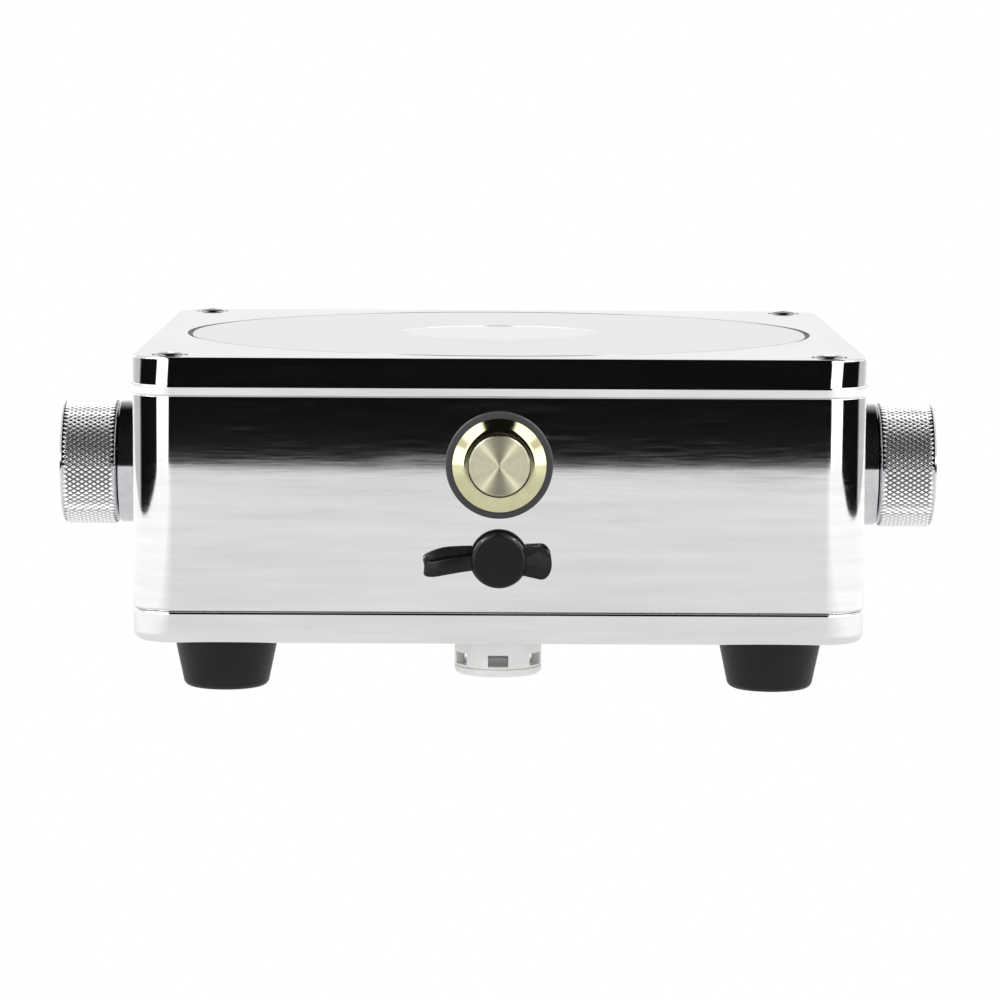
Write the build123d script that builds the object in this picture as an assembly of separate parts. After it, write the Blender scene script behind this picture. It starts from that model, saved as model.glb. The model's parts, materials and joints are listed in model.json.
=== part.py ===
"""Hot plate burner: one STEP file per sub-part, in millimetres, +Z up, feet standing on z = 0."""

import os
from math import cos, radians, sin

from build123d import *

# Enclosure
SIDE = 173.8
CORNER_R = 10.0
WALL = 4.5
FLANGE_GAP = 0.3
FOOT_H = 12.9
BASE_H = 7.6
BODY_H = 51.3
LID_H = 8.9
Z_BASE = FOOT_H
Z_BODY = Z_BASE + BASE_H
Z_LID = Z_BODY + BODY_H
Z_TOP = Z_LID + LID_H
FACE = SIDE / 2
INNER = FACE - WALL
PANEL = -FACE
LIP = 0.55
LIP_H = 2.3
LIP_LEAN = 6.0
LID_EDGE_R = 0.5
BODY_EDGE_R = 0.5
BASE_EDGE_R = 2.3
BASE_FLOOR = 3.0
Z_FLOOR = Z_BASE + BASE_FLOOR
POST_R = 6.4
SEAL_OUT = 2.1
SEAL_W = 1.5
SEAL_H = 1.2

# Corner screws, M4
SCREW_AT = FACE - 8.9
TAP_R = 2.0
SHANK_R = 1.95
CLEAR_R = 2.25
HEAD_R = 3.8
HEAD_H = 2.2
BORE_R = 4.3
HEAD_PROUD = 0.55
SEAT_DROP = HEAD_H - HEAD_PROUD
BASE_SEAT = 2.6
SOCKET_AF = 2.5

# Hot plate and its heater stack
PLATE_R = 77.9
PLATE_T = 9.0
OPENING_R = 79.1
RECESS_R = 25.0
RECESS_D = 0.05
Z_PLATE = Z_TOP - PLATE_T
SEAL_TOP = 0.45
ELEMENT_R = 3.3
GROOVE_R = 3.4
Z_ELEMENT = Z_PLATE + ELEMENT_R
RING_OUT = 60.0
RING_IN = 40.0
TURN_AT = 72.0
OUT_END = 108.0
IN_END = 110.0
BEND_R = 6.0
COLD_BELOW = 2.8
PIN_L = 10.0
CLAMP_R = 64.0
CLAMP_T = 1.5
PAD_R = 55.0
PAD_T = 8.0
SHIELD_T = 1.0
SHIELD_WALL = 8.0
Z_PAD = Z_PLATE - CLAMP_T - PAD_T
Z_SHIELD = Z_PAD - SHIELD_T
Z_COLD = Z_SHIELD - COLD_BELOW
Z_PIN = Z_COLD - PIN_L
CLAMP_AT = (RING_OUT + RING_IN) / 2 * cos(radians(45))
PROBE_R = 3.0
PILLAR_AT = 50.0
PILLAR_R = 4.0
CUTOUT_X = -22.0
CUTOUT_Y = -18.0

# Control board
BOARD_X = 40.0
BOARD_Y0 = -44.0
BOARD_Y1 = 58.0
BOARD_T = 1.6
Z_BOARD = Z_FLOOR + 10.0
Z_PARTS = Z_BOARD + BOARD_T
BOARD_HOLES = [(-36, -40), (36, -40), (-36, 54), (36, 54)]

# Push button
Z_BUTTON = Z_TOP - 25.0
BEZEL_R = 11.05
BEZEL_MOUTH = 7.5
BARREL_R = 9.45
ACTUATOR_R = 7.2
STEM_R = 3.0
BUTTON_GASKET_T = 1.0
BEZEL_H = 1.6
ACTUATOR_PROUD = 3.0
MOUTH_D = 6.8
WEB_T = 1.5
BARREL_L = 17.0
SWITCH_L = 6.7
BUTTON_GASKET_R = 12.65
TRAVEL = 1.8
STEM_END = MOUTH_D + WEB_T + 1.2
SWITCH_AT = STEM_END + TRAVEL + 0.5
TABS_END = SWITCH_AT + SWITCH_L + 6.5

# Capped socket
Z_SOCKET = Z_TOP - 47.2
BARREL2_R = 5.0
FLANGE2_R = 6.0
FLANGE2_T = 0.9
BARREL2_L = 17.0
INSERT_R = 4.0
INSERT_L = 15.0
JACK_D = 8.0
PIN_END = 19.0
RING_R = 6.9
RING_T = 1.2
CAP_R = 6.45
CAP_T = 3.0
PLUG_R = 2.5
JACK_R = 2.85
PIN_R = 1.0
CAP_SEAT = PANEL - RING_T - FLANGE2_T - FLANGE_GAP
CAP_FRONT = CAP_SEAT - CAP_T
PLUG_L = 5.0
STRAP_W = 3.75
STRAP_T = 1.2
STRAP_REACH = 17.6
TAB_REACH = 12.4

# Side dials
Z_DIAL = Z_TOP - 33.3
KNOB_R = 15.9
COLLAR_R = 15.5
COLLAR_IN_R = 12.0
COLLAR_L = 9.1
COLLAR_WEB = 1.5
KNOB_L = 14.7
COLLAR_END = FACE + COLLAR_L
KNOB_END = COLLAR_END + KNOB_L
DIAL_GAP = 0.4
SHAFT_R = 3.0
SHAFT_END = KNOB_END - 3.5
SHAFT_IN = FACE - 17.0
POT_IN = FACE - 19.0
BUSH_R = 3.5
BUSH_END = FACE + 7.5
GRUB_X = COLLAR_END + 7.0
GRUB_L = 6.0

# Feet and breather
FOOT_AT = FACE - 21.4
FOOT_TOP_R = 12.7
FOOT_R = 10.0
BREATHER_Y = PANEL + 28.0
BREATHER_R = 10.5
Z_BREATHER = Z_BASE - 10.5

# Frame: the housing is modelled about its own centre and set back so the bounding box is centred
SETBACK = (PANEL - CAP_FRONT) / 2


def rod(r, z0, z1, x=0.0, y=0.0):
    return Pos(x, y, (z0 + z1) / 2) * Cylinder(r, z1 - z0)


def rod_x(r, x0, x1, y=0.0, z=0.0):
    return Pos((x0 + x1) / 2, y, z) * Rot(0, 90, 0) * Cylinder(r, abs(x1 - x0))


def rod_y(r, y0, y1, x=0.0, z=0.0):
    return Pos(x, (y0 + y1) / 2, z) * Rot(90, 0, 0) * Cylinder(r, abs(y1 - y0))


def cone_y(r_front, r_back, y_front, y_back, x=0.0, z=0.0):
    cone = Cone(r_back, r_front, y_back - y_front)
    return Pos(x, (y_front + y_back) / 2, z) * Rot(90, 0, 0) * cone


def block(x0, x1, y0, y1, z0, z1):
    centre = Pos((x0 + x1) / 2, (y0 + y1) / 2, (z0 + z1) / 2)
    return centre * Box(x1 - x0, y1 - y0, z1 - z0)


def slab(side, r, z0, z1):
    return extrude(Pos(0, 0, z0) * RectangleRounded(side, side, r), z1 - z0)


def hexagon(af, depth):
    return extrude(RegularPolygon(af / 2, 6, major_radius=False), depth)


def corners(d):
    return [(x, y) for x in (-d, d) for y in (-d, d)]


def at(angle, r):
    return r * cos(radians(angle)), r * sin(radians(angle))


# Enclosure


def lid_cover():
    lid = slab(SIDE, CORNER_R, Z_LID, Z_TOP)
    lid = fillet(lid.edges().group_by(Axis.Z)[-1], LID_EDGE_R)
    lip = Pos(0, 0, Z_LID) * RectangleRounded(SIDE + 2 * LIP, SIDE + 2 * LIP, CORNER_R + LIP)
    lip = extrude(lip, LIP_H, taper=-LIP_LEAN)
    lip = fillet(lip.edges().group_by(Axis.Z)[-1], 0.4)
    lip = fillet(lip.edges().group_by(Axis.Z)[0], 0.3)
    lid = lid + lip - rod(OPENING_R, Z_LID - 1, Z_TOP + 1)
    for x, y in corners(SCREW_AT):
        lid -= rod(BORE_R, Z_TOP - SEAT_DROP, Z_TOP + 1, x, y)
        lid -= rod(CLEAR_R, Z_LID - 1, Z_TOP, x, y)
    return lid


def posts(z0, z1):
    return [rod(POST_R, z0, z1, x, y) for x, y in corners(SCREW_AT)]


def seal_ring(z0, z1):
    outer = slab(SIDE - 2 * SEAL_OUT, CORNER_R - SEAL_OUT, z0, z1)
    inside = SEAL_OUT + SEAL_W
    return outer - slab(SIDE - 2 * inside, CORNER_R - inside, z0 - 1, z1 + 1)


def body_shell():
    body = slab(SIDE, CORNER_R, Z_BODY, Z_LID)
    body = fillet(body.edges().group_by(Axis.Z)[-1], BODY_EDGE_R)
    body = fillet(body.edges().group_by(Axis.Z)[0], 0.8)
    cavity = slab(2 * INNER, CORNER_R - WALL, Z_BODY - 1, Z_LID + 1)
    for post in posts(Z_BODY - 2, Z_LID + 2):
        cavity -= post
    body -= cavity
    for x, y in corners(SCREW_AT):
        body -= rod(TAP_R, Z_BODY - 1, Z_BODY + 18, x, y)
        body -= rod(TAP_R, Z_LID - 18, Z_LID + 1, x, y)
    body -= seal_ring(Z_LID - SEAL_H, Z_LID + 1)
    body -= seal_ring(Z_BODY - 1, Z_BODY + SEAL_H)
    body -= rod_y(BARREL_R + 0.05, PANEL - 2, PANEL + WALL + 2, z=Z_BUTTON)
    body -= rod_y(BARREL2_R + 0.05, PANEL - 2, PANEL + WALL + 2, z=Z_SOCKET)
    for side in (-1, 1):
        body -= rod_x(BUSH_R + 0.05, side * (INNER - 2), side * (FACE + 2), z=Z_DIAL)
    return body


def base_cover():
    base = slab(SIDE, CORNER_R, Z_BASE, Z_BODY)
    base = fillet(base.edges().group_by(Axis.Z)[-1], 0.6)
    base = fillet(base.edges().group_by(Axis.Z)[0], BASE_EDGE_R)
    cavity = slab(2 * INNER, CORNER_R - WALL, Z_FLOOR, Z_BODY + 1)
    for post in posts(Z_FLOOR - 1, Z_BODY + 2):
        cavity -= post
    base -= cavity
    for x, y in corners(SCREW_AT):
        base -= rod(BORE_R, Z_BASE - 1, Z_BASE + BASE_SEAT, x, y)
        base -= rod(CLEAR_R, Z_BASE, Z_BODY + 1, x, y)
    for x, y in corners(FOOT_AT):
        base -= rod(TAP_R, Z_BASE - 1, Z_FLOOR + 1, x, y)
    for x, y in corners(PILLAR_AT):
        base -= rod(2.05, Z_BASE - 1, Z_FLOOR + 1, x, y)
        base -= Pos(x, y, Z_BASE + 1.025) * Cone(4.1, 2.05, 2.05)
    return base - rod(6.1, Z_BASE - 1, Z_FLOOR + 1, 0, BREATHER_Y)


def lid_seal():
    return seal_ring(Z_LID - SEAL_H, Z_LID)


def base_seal():
    return seal_ring(Z_BODY, Z_BODY + SEAL_H)


def cap_screw(x, y, seat, length, up):
    head = Cylinder(HEAD_R, HEAD_H, align=(Align.CENTER, Align.CENTER, Align.MIN))
    head = fillet(head.edges().sort_by(Axis.Z)[-1], 1.2)
    head -= Pos(0, 0, HEAD_H - 1.3) * hexagon(SOCKET_AF, 2)
    head += Pos(0, 0, -length / 2) * Cylinder(SHANK_R, length)
    return Pos(x, y, seat) * (head if up else Rot(180, 0, 0) * head)


def lid_screws():
    return [cap_screw(x, y, Z_TOP - SEAT_DROP, 17, True) for x, y in corners(SCREW_AT)]


def base_screws():
    return [cap_screw(x, y, Z_BASE + BASE_SEAT, 17, False) for x, y in corners(SCREW_AT)]


# Hot plate and heater


def turn_arc():
    return CenterArc((*at(TURN_AT, (RING_OUT + RING_IN) / 2), 0), (RING_OUT - RING_IN) / 2, TURN_AT, 180)


def ring_path():
    outer = CenterArc((0, 0, 0), RING_OUT, OUT_END, 360 + TURN_AT - OUT_END)
    inner = CenterArc((0, 0, 0), RING_IN, TURN_AT, IN_END - 360 - TURN_AT)
    return [Pos(0, 0, Z_ELEMENT) * edge for edge in (outer, turn_arc(), inner)]


def end_heading(angle):
    return sin(radians(angle)), -cos(radians(angle))


def cold_end(angle, r):
    """The bend from a ring's end down to its terminal, as edges from the ring outwards."""
    (px, py), (hx, hy) = at(angle, r), end_heading(angle)
    across, up = BEND_R * sin(radians(45)), BEND_R * cos(radians(45))
    low = Z_ELEMENT - BEND_R
    middle = (px + hx * across, py + hy * across, low + up)
    end = (px + hx * BEND_R, py + hy * BEND_R, low)
    bend = ThreePointArc((px, py, Z_ELEMENT), middle, end)
    return [bend, Line(end, (end[0], end[1], Z_COLD))]


def terminal_at(angle, r):
    (px, py), (hx, hy) = at(angle, r), end_heading(angle)
    return px + hx * BEND_R, py + hy * BEND_R


def terminals():
    return [terminal_at(OUT_END, RING_OUT), terminal_at(IN_END, RING_IN)]


def heating_element():
    edges = cold_end(OUT_END, RING_OUT) + ring_path() + cold_end(IN_END, RING_IN)
    path = Wire(edges)
    start = terminal_at(OUT_END, RING_OUT)
    section = Plane(origin=(*start, Z_COLD), z_dir=(0, 0, 1)) * Circle(ELEMENT_R)
    return sweep(section, path=path)


def groove():
    px, py = at(OUT_END, RING_OUT)
    hx, hy = end_heading(OUT_END)
    start = Plane(origin=(px, py, Z_ELEMENT), x_dir=(px, py, 0), z_dir=(-hx, -hy, 0))
    section = start * (Circle(GROOVE_R) + Pos(0, GROOVE_R) * Rectangle(2 * GROOVE_R, 2 * GROOVE_R))
    return sweep(section, path=Wire(ring_path()))


def end_slots(z0, z1):
    slots = []
    for angle, r in ((OUT_END, RING_OUT), (IN_END, RING_IN)):
        (px, py), (hx, hy) = at(angle, r), end_heading(angle)
        middle = Pos(px + 3.4 * hx, py + 3.4 * hy, (z0 + z1) / 2)
        slots.append(middle * Rot(0, 0, angle - 90) * Box(13.2, 2 * GROOVE_R, z1 - z0))
    return slots


def hot_plate():
    plate = rod(PLATE_R, Z_PLATE, Z_TOP)
    plate = chamfer(plate.edges().sort_by(Axis.Z)[-1], 0.3)
    plate -= rod(RECESS_R, Z_TOP - RECESS_D, Z_TOP + 1)
    plate -= groove()
    for slot in end_slots(Z_PLATE - 1, Z_ELEMENT + GROOVE_R):
        plate -= slot
    for x, y in corners(PILLAR_AT) + corners(CLAMP_AT):
        plate -= rod(TAP_R, Z_PLATE - 1, Z_PLATE + 6, x, y)
    return plate - rod(PROBE_R + 0.05, Z_PLATE - 1, Z_PLATE + 6)


def plate_seal():
    return rod(OPENING_R, Z_LID + 0.5, Z_TOP - SEAL_TOP) - rod(PLATE_R, Z_LID, Z_TOP)


def clamp_plate():
    plate = rod(CLAMP_R, Z_PLATE - CLAMP_T, Z_PLATE)
    for slot in end_slots(Z_PAD, Z_PLATE + 1):
        plate -= slot
    for x, y in corners(CLAMP_AT):
        plate -= rod(2.1, Z_PAD, Z_PLATE + 1, x, y)
    return plate - rod(PROBE_R + 0.05, Z_PAD, Z_PLATE + 1)


def through_stack(part, z0, z1, holes=2.1):
    for x, y in corners(CLAMP_AT):
        part -= rod(holes, z0 - 1, z1 + 1, x, y)
    part -= rod(4.5, z0 - 1, z1 + 1, *terminal_at(IN_END, RING_IN))
    return part - rod(PROBE_R + 0.05, z0 - 1, z1 + 1)


def insulation_pad():
    return through_stack(rod(PAD_R, Z_PAD, Z_PAD + PAD_T), Z_PAD, Z_PAD + PAD_T)


def heat_shield():
    shield = rod(PAD_R + SHIELD_T, Z_SHIELD, Z_PAD + SHIELD_WALL - 1)
    shield -= rod(PAD_R, Z_PAD, Z_PLATE)
    shield = through_stack(shield, Z_SHIELD, Z_PAD)
    for dx in (-11.5, 11.5):
        shield -= rod(1.5, Z_SHIELD - 1, Z_PAD + 1, CUTOUT_X + dx, CUTOUT_Y)
    return shield


def clamp_screw(x, y):
    head = rod(3.5, Z_SHIELD - 2.4, Z_SHIELD, x, y)
    head = fillet(head.edges().sort_by(Axis.Z)[0], 0.9)
    return head + rod(SHANK_R, Z_SHIELD, Z_PLATE + 5.5, x, y)


def clamp_screws():
    return [clamp_screw(x, y) for x, y in corners(CLAMP_AT)]


def thermal_cutout():
    flange = block(CUTOUT_X - 15, CUTOUT_X + 15, CUTOUT_Y - 5, CUTOUT_Y + 5, Z_SHIELD - 0.8, Z_SHIELD)
    for dx in (-11.5, 11.5):
        flange -= rod(1.6, Z_SHIELD - 2, Z_SHIELD + 1, CUTOUT_X + dx, CUTOUT_Y)
    body = rod(8, Z_SHIELD - 8.8, Z_SHIELD - 0.8, CUTOUT_X, CUTOUT_Y)
    part = flange + body
    for dx in (-4.5, 4.5):
        x = CUTOUT_X + dx
        part += block(x - 0.4, x + 0.4, CUTOUT_Y - 3.1, CUTOUT_Y + 3.1, Z_SHIELD - 16, Z_SHIELD - 8.8)
    return part


def cutout_screw(x):
    shank = rod(1.45, Z_SHIELD - 0.8, Z_PAD - 0.1, x, CUTOUT_Y)
    return shank + rod(2.6, Z_SHIELD - 2.6, Z_SHIELD - 0.8, x, CUTOUT_Y)


def cutout_screws():
    return [cutout_screw(CUTOUT_X - 11.5), cutout_screw(CUTOUT_X + 11.5)]


def temp_probe():
    probe = rod(PROBE_R, Z_SHIELD - 9, Z_PLATE + 5.8)
    return chamfer(probe.edges().sort_by(Axis.Z)[-1], 0.8)


def probe_nut():
    nut = Pos(0, 0, Z_SHIELD - 4) * hexagon(10, 4)
    return nut - rod(PROBE_R, Z_SHIELD - 5, Z_SHIELD + 1)


def element_bushes():
    return [rod(ELEMENT_R - 0.3, Z_COLD - 4, Z_COLD, x, y) - rod(1.25, 0, Z_COLD, x, y) for x, y in terminals()]


def element_pins():
    return [rod(1.25, Z_PIN, Z_COLD, x, y) for x, y in terminals()]


def pillar(x, y):
    post = rod(PILLAR_R, Z_FLOOR, Z_PLATE, x, y) + rod(SHANK_R, Z_PLATE, Z_PLATE + 5, x, y)
    return post - rod(TAP_R, Z_FLOOR - 1, Z_FLOOR + 12, x, y)


def plate_pillars():
    return [pillar(x, y) for x, y in corners(PILLAR_AT)]


def pillar_screw(x, y):
    head = Pos(x, y, Z_BASE + 1.075) * Cone(4.0, 1.95, 2.05)
    head -= Pos(x, y, Z_BASE - 0.5) * hexagon(SOCKET_AF, 1.9)
    return head + rod(SHANK_R, Z_BASE + 2.0, Z_FLOOR + 10, x, y)


def pillar_screws():
    return [pillar_screw(x, y) for x, y in corners(PILLAR_AT)]


# Control board


def control_board():
    board = block(-BOARD_X, BOARD_X, BOARD_Y0, BOARD_Y1, Z_BOARD, Z_PARTS)
    board = fillet(board.edges().filter_by(Axis.Z), 3)
    for x, y in BOARD_HOLES:
        board -= rod(1.6, Z_BOARD - 1, Z_PARTS + 1, x, y)
    return board


def standoff(x, y):
    post = Pos(x, y, Z_FLOOR) * hexagon(6, Z_BOARD - Z_FLOOR)
    return post - rod(1.5, Z_BOARD - 8, Z_BOARD + 1, x, y)


def board_standoffs():
    return [standoff(x, y) for x, y in BOARD_HOLES]


def board_screw(x, y):
    head = rod(2.75, Z_PARTS, Z_PARTS + 2, x, y)
    head = fillet(head.edges().sort_by(Axis.Z)[-1], 0.8)
    return head + rod(1.45, Z_BOARD - 6, Z_PARTS, x, y)


def board_screws():
    return [board_screw(x, y) for x, y in BOARD_HOLES]


def heatsink():
    sink = block(-36, -12, -10, 30, Z_PARTS, Z_PARTS + 3)
    for i in range(6):
        x = -36 + i * 4.55
        sink += block(x, x + 1.25, -10, 30, Z_PARTS + 2, Z_PARTS + 18)
    return sink


def transistor(y):
    part = block(-12, -7.4, y - 5, y + 5, Z_PARTS + 4, Z_PARTS + 14)
    part += block(-12, -10.7, y - 5, y + 5, Z_PARTS + 14, Z_PARTS + 19)
    for dy in (-2.54, 0, 2.54):
        part += block(-9.6, -9.0, y + dy - 0.4, y + dy + 0.4, Z_PARTS, Z_PARTS + 4)
    return part


def power_transistors():
    return [transistor(0), transistor(20)]


def capacitor(x, y):
    can = rod(5, Z_PARTS, Z_PARTS + 16, x, y)
    return fillet(can.edges().sort_by(Axis.Z)[-1], 0.8)


def capacitors():
    return [capacitor(8, -32), capacitor(20, -32), capacitor(32, -28)]


def terminal_block():
    part = block(-22, 22, 45, 55, Z_PARTS, Z_PARTS + 10)
    for i in range(6):
        x = -18.3 + i * 7.3
        part -= rod(1.8, Z_PARTS + 7, Z_PARTS + 11, x, 50)
        part -= rod_y(1.4, 52, 56, x, Z_PARTS + 3.5)
    return part


def inductor():
    return Pos(22, 8, Z_PARTS + 4) * Torus(8, 4)


def controller_chip():
    chip = block(-5, 5, -28, -18, Z_PARTS + 0.3, Z_PARTS + 1.7)
    for i in range(8):
        y = -27 + i * 1.143
        for x in (-6.2, 4.9):
            chip += block(x, x + 1.3, y - 0.25, y + 0.25, Z_PARTS, Z_PARTS + 0.9)
    return chip


# Push button


def button_bezel():
    y0 = PANEL - BUTTON_GASKET_T
    head = rod_y(BEZEL_R, y0 - 0.4, y0, z=Z_BUTTON)
    head += cone_y(BEZEL_MOUTH + 0.5, BEZEL_R, y0 - BEZEL_H, y0 - 0.4, z=Z_BUTTON)
    head += rod_y(BARREL_R, y0, PANEL + BARREL_L, z=Z_BUTTON)
    head -= rod_y(BEZEL_MOUTH, y0 - BEZEL_H - 1, PANEL + MOUTH_D, z=Z_BUTTON)
    head -= rod_y(STEM_R + 0.08, PANEL, PANEL + BARREL_L, z=Z_BUTTON)
    return head - rod_y(BEZEL_MOUTH + 0.5, PANEL + MOUTH_D + WEB_T, PANEL + BARREL_L + 2, z=Z_BUTTON)


def button_actuator():
    back = PANEL + 1.2
    web_back = PANEL + MOUTH_D + WEB_T
    head = rod_y(ACTUATOR_R, PANEL - ACTUATOR_PROUD, back, z=Z_BUTTON)
    head = fillet(head.edges().sort_by(Axis.Y)[0], 0.35)
    stem = rod_y(STEM_R, back, PANEL + STEM_END, z=Z_BUTTON)
    clip = rod_y(STEM_R + 1.6, web_back + 0.4, web_back + 1.0, z=Z_BUTTON)
    return [head + stem, clip - rod_y(STEM_R, web_back, web_back + 2, z=Z_BUTTON)]


def button_gasket():
    ring = rod_y(BUTTON_GASKET_R, PANEL - BUTTON_GASKET_T, PANEL, z=Z_BUTTON)
    ring = fillet(ring.edges().sort_by(Axis.Y)[0], 0.4)
    return ring - rod_y(BARREL_R, PANEL - 2, PANEL + 1, z=Z_BUTTON)


def nut_y(af, y0, y1, bore, z):
    nut = Pos(0, y1, z) * Rot(90, 0, 0) * hexagon(af, y1 - y0)
    return nut - rod_y(bore, y0 - 1, y1 + 1, z=z)


def button_nut():
    return nut_y(22, -INNER, -INNER + 4, BARREL_R, Z_BUTTON)


def button_spring():
    coil = Helix(pitch=1.2, height=MOUTH_D - 2.0, radius=STEM_R + 1.8)
    wire = sweep(Plane(origin=coil @ 0, z_dir=coil % 0) * Circle(0.35), path=coil, is_frenet=True)
    return Pos(0, PANEL + MOUTH_D - 0.4, Z_BUTTON) * Rot(90, 0, 0) * wire


def button_switch():
    return rod_y(BEZEL_MOUTH + 0.5, PANEL + SWITCH_AT, PANEL + SWITCH_AT + SWITCH_L, z=Z_BUTTON)


def button_terminals():
    tabs = []
    for x in (-4.5, 0, 4.5):
        start = PANEL + SWITCH_AT + SWITCH_L
        tabs.append(block(x - 1.4, x + 1.4, start, PANEL + TABS_END, Z_BUTTON - 0.4, Z_BUTTON + 0.4))
    return tabs


# Capped socket


def dc_socket():
    flange = rod_y(FLANGE2_R, PANEL - RING_T - FLANGE2_T, PANEL - RING_T, z=Z_SOCKET)
    barrel = rod_y(BARREL2_R, PANEL - RING_T, PANEL + BARREL2_L, z=Z_SOCKET)
    return flange + barrel - rod_y(INSERT_R, PANEL - 5, PANEL + BARREL2_L + 1, z=Z_SOCKET)


def socket_insert():
    mouth = PANEL - RING_T - FLANGE2_T
    insert = rod_y(INSERT_R, mouth, PANEL + INSERT_L, z=Z_SOCKET)
    insert -= rod_y(JACK_R, mouth - 1, PANEL + JACK_D, z=Z_SOCKET)
    return insert - rod_y(PIN_R, PANEL, PANEL + INSERT_L + 1, z=Z_SOCKET)


def socket_contacts():
    pin = rod_y(PIN_R, PANEL - 1.0, PANEL + PIN_END, z=Z_SOCKET)
    pin = fillet(pin.edges().sort_by(Axis.Y)[0], 0.5)
    tab = block(-1.2, 1.2, PANEL + INSERT_L, PANEL + PIN_END + 2, Z_SOCKET - 3.3, Z_SOCKET - 2.7)
    return [pin, tab]


def socket_nut():
    return nut_y(14, -INNER, -INNER + 3, BARREL2_R, Z_SOCKET)


def strap_ring():
    ring = rod_y(RING_R, PANEL - RING_T, PANEL, z=Z_SOCKET)
    return ring - rod_y(BARREL2_R, PANEL - 2, PANEL + 1, z=Z_SOCKET)


def pull_tab():
    root, reach = CAP_R - 1.5, TAB_REACH
    upper = [(root, 3.0), (reach - 1.8, 3.2), (reach - 0.6, 2.2), (reach, 0.4)]
    lower = [(reach, -1.6), (reach - 0.6, -3.4), (reach - 2.0, -4.5), (root, -3.3)]
    outline = Polyline(*upper, *lower, close=True)
    face = Plane(origin=(0, CAP_FRONT + 2.5, Z_SOCKET), x_dir=(1, 0, 0), z_dir=(0, -1, 0)) * make_face(outline)
    return extrude(face, 1.6)


def dust_cap():
    cap = rod_y(CAP_R, CAP_FRONT, CAP_SEAT, z=Z_SOCKET)
    cap = fillet(cap.edges().sort_by(Axis.Y)[0], 0.9)
    cap += pull_tab()
    cap += rod_y(PLUG_R, CAP_SEAT, CAP_SEAT + PLUG_L, z=Z_SOCKET)
    return cap - rod_y(PIN_R + 0.4, CAP_SEAT, CAP_SEAT + PLUG_L + 1, z=Z_SOCKET)


def cap_strap():
    y_front, y_back = CAP_SEAT - 1.3, PANEL - 0.7
    bend = (y_back - y_front) / 2
    x_bend = -STRAP_REACH + bend + STRAP_T / 2
    runs = Polyline((0, y_front, 0), (x_bend, y_front, 0)) + Polyline((x_bend, y_back, 0), (0, y_back, 0))
    loop = ThreePointArc((x_bend, y_front, 0), (x_bend - bend, (y_front + y_back) / 2, 0), (x_bend, y_back, 0))
    section = Plane(origin=(0, y_front, 0), x_dir=(0, 1, 0), z_dir=(-1, 0, 0)) * Rectangle(STRAP_T, STRAP_W)
    strap = Pos(0, 0, Z_SOCKET) * sweep(section, path=Wire(runs.edges() + [loop.edge()]))
    strap -= rod_y(CAP_R, CAP_FRONT - 1, PANEL - 2.2, z=Z_SOCKET)
    return strap - rod_y(RING_R, PANEL - 2.2, PANEL + 1, z=Z_SOCKET)


# Side dials


def dial_collar(side):
    tube = rod_x(COLLAR_R, side * FACE, side * COLLAR_END, z=Z_DIAL)
    tube -= rod_x(COLLAR_IN_R, side * (FACE + COLLAR_WEB), side * (COLLAR_END + 1), z=Z_DIAL)
    return tube - rod_x(BUSH_R + 0.05, side * (FACE - 1), side * COLLAR_END, z=Z_DIAL)


def dial_collars():
    return [dial_collar(-1), dial_collar(1)]


def knob(side):
    part = rod_x(KNOB_R, side * (COLLAR_END + DIAL_GAP), side * KNOB_END, z=Z_DIAL)
    part = chamfer(part.edges().filter_by(GeomType.CIRCLE), 0.5)
    part -= rod_x(SHAFT_R, side * COLLAR_END, side * SHAFT_END, z=Z_DIAL)
    return part - rod(1.5, Z_DIAL - KNOB_R - 1, Z_DIAL, side * GRUB_X)


def shaft(side):
    return rod_x(SHAFT_R, side * SHAFT_IN, side * SHAFT_END, z=Z_DIAL)


def grub(side):
    low = Z_DIAL - SHAFT_R - GRUB_L
    screw = rod(1.5, low, Z_DIAL - SHAFT_R, side * GRUB_X)
    return screw - Pos(side * GRUB_X, 0, low - 0.5) * hexagon(1.5, 2.5)


def left_knob():
    return knob(-1)


def right_knob():
    return knob(1)


def left_shaft():
    return shaft(-1)


def right_shaft():
    return shaft(1)


def left_grub():
    return grub(-1)


def right_grub():
    return grub(1)


def dial_pot(side):
    body = rod_x(8.5, side * POT_IN, side * INNER, z=Z_DIAL)
    body += rod_x(BUSH_R, side * INNER, side * BUSH_END, z=Z_DIAL)
    body -= rod_x(SHAFT_R + 0.06, side * (SHAFT_IN - 0.4), side * (BUSH_END + 1), z=Z_DIAL)
    x0, x1 = sorted((side * (POT_IN + 4), side * (POT_IN + 6)))
    for y in (-4, 0, 4):
        body += block(x0, x1, y - 0.8, y + 0.8, Z_DIAL - 13, Z_DIAL - 7)
    return body


def dial_pots():
    return [dial_pot(-1), dial_pot(1)]


def dial_nut(side):
    start = side * (FACE + COLLAR_WEB)
    nut = Pos(start, 0, Z_DIAL) * Rot(0, side * 90, 0) * hexagon(10, 2.5)
    return nut - rod_x(BUSH_R, side * FACE, side * BUSH_END, z=Z_DIAL)


def dial_nuts():
    return [dial_nut(-1), dial_nut(1)]


# Feet and breather


def foot(x, y):
    body = Pos(x, y, FOOT_H / 2) * Cone(FOOT_R, FOOT_TOP_R, FOOT_H)
    body = fillet(body.edges().sort_by(Axis.Z)[0], 1.8)
    return body - rod(4.5, -1, 6, x, y) - rod(2.1, 0, FOOT_H + 1, x, y)


def feet():
    return [foot(x, y) for x, y in corners(FOOT_AT)]


def foot_screw(x, y):
    head = rod(HEAD_R, 3.6, 6, x, y)
    head = fillet(head.edges().sort_by(Axis.Z)[0], 0.9)
    head -= Pos(x, y, 3) * hexagon(SOCKET_AF, 1.9)
    return head + rod(SHANK_R, 6, Z_FLOOR + 2.5, x, y)


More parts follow.
